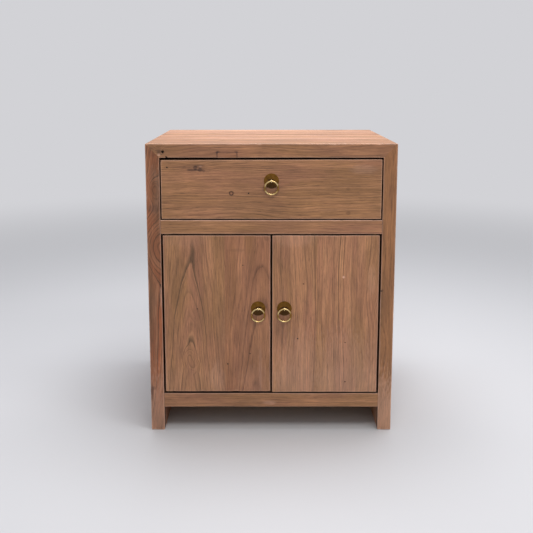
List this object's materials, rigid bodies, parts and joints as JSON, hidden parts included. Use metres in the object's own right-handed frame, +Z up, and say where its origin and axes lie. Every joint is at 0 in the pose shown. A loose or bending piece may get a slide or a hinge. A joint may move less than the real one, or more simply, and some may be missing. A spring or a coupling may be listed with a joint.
{
  "type": "bedside cabinet with one drawer and two doors",
  "caption": "Small old-elm cabinet with slab sides mitred to a slab top, a dovetailed drawer over a pair of plank doors, and brass ring pulls.",
  "frame": {"origin": "on the floor, at the middle of the whole piece seen from above, ring pulls included", "axes": "+Z up, the front with drawer and doors faces -Y, +X to the right of someone facing the front"},
  "size_m": [0.5, 0.4088, 0.6],
  "materials": {
    "elm_top": "planed old elm, thin matt varnish",
    "elm_sides": "planed old elm, thin matt varnish",
    "elm_rails": "planed old elm, thin matt varnish",
    "elm_drawer_front": "planed old elm, thin matt varnish",
    "elm_doors": "planed old elm, thin matt varnish",
    "elm_repairs": "plug and patch of the same wood",
    "inner_boards": "planed, unvarnished",
    "drawer_box_wood": "planed, unvarnished",
    "inner_rails": "planed, unvarnished",
    "dark_brass": "aged, brown",
    "worn_brass": "aged, rubbed bright",
    "pivot_brass": "turned",
    "catch_plastic": "moulded, brown",
    "magnet": "plated",
    "steel": "zinc plated"
  },
  "bodies": {
    "carcass": {"top_board_front": "elm_top", "top_board_middle": "elm_top", "top_board_back": "elm_top", "left_side_board_front": "elm_sides", "left_side_board_middle": "elm_sides", "left_side_board_back": "elm_sides", "right_side_board_front": "elm_sides", "right_side_board_middle": "elm_sides", "right_side_board_back": "elm_sides", "mitre_splines": "inner_rails", "middle_rail": "elm_rails", "bottom_rail": "elm_rails", "back_middle_rail": "inner_rails", "back_bottom_rail": "inner_rails", "back_board_left": "inner_boards", "back_board_middle": "inner_boards", "back_board_right": "inner_boards", "floor_board_front": "inner_boards", "floor_board_back": "inner_boards", "floor_cleats": "inner_rails", "drawer_runner_left": "inner_rails", "drawer_runner_right": "inner_rails", "drawer_stops": "inner_rails", "top_edge_patch": "elm_repairs", "catch_body": "catch_plastic", "catch_magnets": "magnet", "catch_screws": "steel", "pivot_bushes": "pivot_brass", "back_screws": "steel", "side_screws": "steel"},
    "drawer": {"drawer_front": "elm_drawer_front", "drawer_side_left": "drawer_box_wood", "drawer_side_right": "drawer_box_wood", "drawer_back": "drawer_box_wood", "drawer_bottom": "inner_boards", "drawer_pull_plate": "dark_brass", "drawer_pull_pin": "worn_brass", "drawer_bottom_screws": "steel", "drawer_front_plug": "elm_repairs"},
    "drawer_ring": {"drawer_pull_ring": "worn_brass"},
    "left_door": {"left_door_outer_board": "elm_doors", "left_door_inner_board": "elm_doors", "left_door_battens": "inner_rails", "left_door_pivot_pins": "pivot_brass", "left_door_strike": "steel", "left_door_pull_plate": "dark_brass", "left_door_pull_pin": "worn_brass", "left_door_screws": "steel"},
    "left_ring": {"left_door_pull_ring": "worn_brass"},
    "right_door": {"right_door_outer_board": "elm_doors", "right_door_inner_board": "elm_doors", "right_door_battens": "inner_rails", "right_door_pivot_pins": "pivot_brass", "right_door_strike": "steel", "right_door_pull_plate": "dark_brass", "right_door_pull_pin": "worn_brass", "right_door_screws": "steel"},
    "right_ring": {"right_door_pull_ring": "worn_brass"}
  },
  "joints": [
    {"name": "drawer_slide", "type": "slide", "parent": "carcass", "child": "drawer", "axis": [0, -1, 0], "range_m": [0, 0.25]},
    {"name": "left_door_hinge", "type": "hinge", "parent": "carcass", "child": "left_door", "pos_m": [-0.2095, -0.1876, 0.25], "axis": [0, 0, -1], "range_deg": [0, 105]},
    {"name": "right_door_hinge", "type": "hinge", "parent": "carcass", "child": "right_door", "pos_m": [0.2095, -0.1876, 0.25], "axis": [0, 0, 1], "range_deg": [0, 105]},
    {"name": "drawer_ring_swing", "type": "hinge", "parent": "drawer", "child": "drawer_ring", "pos_m": [0, -0.2006, 0.526], "axis": [-1, 0, 0], "range_deg": [-6, 186]},
    {"name": "left_ring_swing", "type": "hinge", "parent": "left_door", "child": "left_ring", "pos_m": [-0.02675, -0.2006, 0.2635], "axis": [-1, 0, 0], "range_deg": [-6, 186]},
    {"name": "right_ring_swing", "type": "hinge", "parent": "right_door", "child": "right_ring", "pos_m": [0.02675, -0.2006, 0.2635], "axis": [-1, 0, 0], "range_deg": [-6, 186]}
  ]
}
